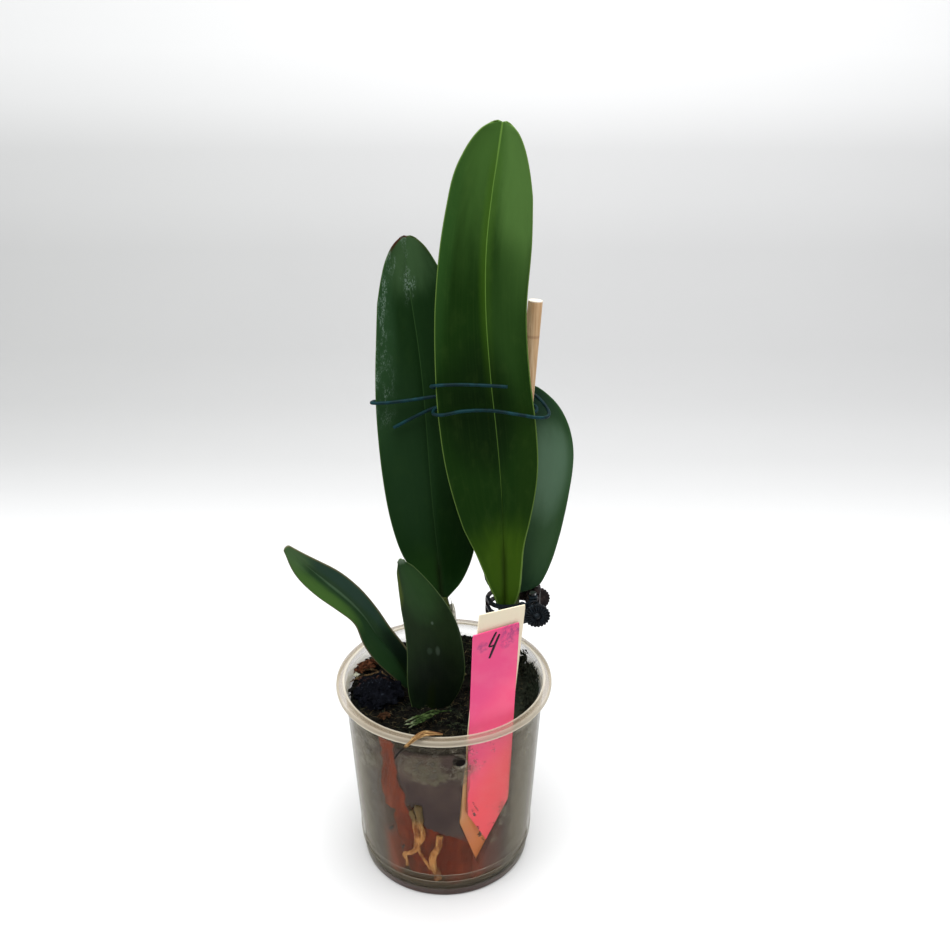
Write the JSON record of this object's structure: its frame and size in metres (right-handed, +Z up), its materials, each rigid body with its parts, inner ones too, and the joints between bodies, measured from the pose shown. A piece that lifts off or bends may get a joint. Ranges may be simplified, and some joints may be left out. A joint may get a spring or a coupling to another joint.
{
  "type": "potted cattleya orchid",
  "caption": "Young strap-leaved orchid growing in a clear plastic pot of bark, tied to a stake and held by a claw clip, with plant labels.",
  "frame": {"origin": "centre of the pot's underside", "axes": "+Z up; the plant is seen from the front when looking along +Y"},
  "size_m": [0.111, 0.0893, 0.2932],
  "materials": {
    "clear_plastic": "clear polypropylene, gloss, hazed and dirty on the inside",
    "leaf": "thick waxy leaf, semi-gloss",
    "leaf_dark": "thick waxy leaf, darker, semi-gloss",
    "stem_green": "smooth green stem, satin",
    "rhizome": "ringed green-brown rhizome, matt",
    "dry_bract": "dry papery bract, matt",
    "root": "tan root, satin",
    "bark": "rough red-brown bark",
    "bark_dark": "rough near-black bark",
    "mineral": "pale crumb, matt",
    "label_pink": "thin plastic sheet, semi-gloss",
    "label_white": "thin plastic sheet, semi-gloss",
    "stake_wood": "smooth pale wood",
    "tie_wire": "plastic-coated garden wire, satin",
    "clip_plastic": "black moulded plastic, gloss",
    "steel": "bright spring steel",
    "substrate": "damp dark bark substrate, rough"
  },
  "bodies": {
    "plant_and_pot": {"pot": "clear_plastic", "leaf_tall": "leaf", "leaf_left": "leaf_dark", "leaf_right": "leaf_dark", "leaf_small_left": "leaf_dark", "leaf_small_front": "leaf_dark", "stem_tall": "stem_green", "stem_left": "stem_green", "stem_right": "stem_green", "rhizome": "rhizome", "sheath_left": "dry_bract", "green_shoot": "stem_green", "dry_bract": "dry_bract", "root_forked": "root", "root_wavy": "root", "bark_strip": "bark", "bark_slab": "bark", "bark_chunk": "bark_dark", "bark_chip_red": "bark", "bark_chip_tan": "bark", "white_crumb": "mineral", "label_pink": "label_pink", "label_white": "label_white", "stake": "stake_wood", "wire_tie_tall": "tie_wire", "wire_tie_left": "tie_wire", "clip_jaw_front": "clip_plastic", "clip_pin": "steel", "clip_spring": "steel", "substrate": "substrate"},
    "clip_jaw": {"clip_jaw_back": "clip_plastic"}
  },
  "joints": [
    {"name": "clip_hinge", "type": "hinge", "parent": "plant_and_pot", "child": "clip_jaw", "pos_m": [0.0355, 0.006, 0.111], "axis": [0, 0, -1], "range_deg": [0, 35], "stiffness_Nm_per_rad": 0.004, "springref_deg": -34.38}
  ]
}
